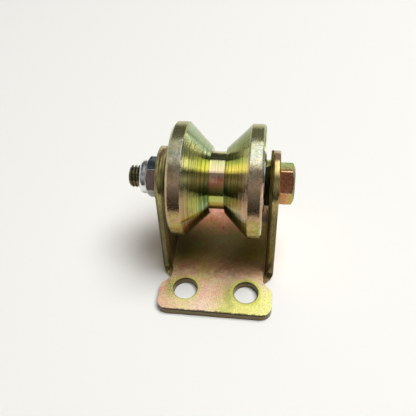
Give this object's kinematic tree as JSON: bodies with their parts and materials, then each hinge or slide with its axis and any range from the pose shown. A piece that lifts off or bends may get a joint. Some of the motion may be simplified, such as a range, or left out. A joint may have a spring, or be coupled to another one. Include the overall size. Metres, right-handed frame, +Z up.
{
  "type": "sliding gate wheel",
  "caption": "V-groove steel wheel on a bolt between the ears of a folded steel bracket with a drilled base plate, for carrying a sliding gate along a rail.",
  "frame": {"origin": "middle of the base plate's underside, below the axle", "axes": "+Z up from the base plate to the wheel, +X along the axle towards the bolt head, Y the way the wheel rolls"},
  "size_m": [0.0722, 0.084, 0.07],
  "materials": {
    "yellow_zinc_sheet": "punched sheet, yellow chromate zinc plating with a pink and green sheen",
    "yellow_zinc_turned": "turned, yellow chromate zinc plating over fine tool lines",
    "yellow_zinc_bolt": "cold headed, yellow chromate zinc plating",
    "clear_zinc": "bright clear zinc plating",
    "nylon": "natural nylon",
    "bearing_steel": "ground",
    "pressed_steel": "pressed sheet"
  },
  "bodies": {
    "bracket": {"bracket": "yellow_zinc_sheet", "axle_bolt": "yellow_zinc_bolt", "lock_nut": "clear_zinc", "lock_nut_insert": "nylon", "left_spacer_washer": "yellow_zinc_sheet", "right_spacer_washer": "yellow_zinc_sheet", "bearing_spacer_tube": "bearing_steel", "left_bearing_inner_ring": "bearing_steel", "right_bearing_inner_ring": "bearing_steel"},
    "wheel": {"wheel": "yellow_zinc_turned", "left_bearing_outer_ring": "bearing_steel", "right_bearing_outer_ring": "bearing_steel", "left_bearing_inboard_shield": "pressed_steel", "left_bearing_outboard_shield": "pressed_steel", "right_bearing_inboard_shield": "pressed_steel", "right_bearing_outboard_shield": "pressed_steel"},
    "left_ball_set": {"left_bearing_balls": "bearing_steel", "left_bearing_cage": "pressed_steel"},
    "right_ball_set": {"right_bearing_balls": "bearing_steel", "right_bearing_cage": "pressed_steel"}
  },
  "joints": [
    {"name": "wheel_spin", "type": "hinge", "parent": "bracket", "child": "wheel", "pos_m": [0, 0, 0.045], "axis": [1, 0, 0], "continuous": true},
    {"name": "left_balls_spin", "type": "hinge", "parent": "bracket", "child": "left_ball_set", "pos_m": [-0.016, 0, 0.045], "axis": [1, 0, 0], "continuous": true},
    {"name": "right_balls_spin", "type": "hinge", "parent": "bracket", "child": "right_ball_set", "pos_m": [0.016, 0, 0.045], "axis": [1, 0, 0], "continuous": true}
  ],
  "couplings": [
    {"joint": "left_balls_spin", "follows": "wheel_spin", "ratio": 0.6322},
    {"joint": "right_balls_spin", "follows": "wheel_spin", "ratio": 0.6322}
  ]
}
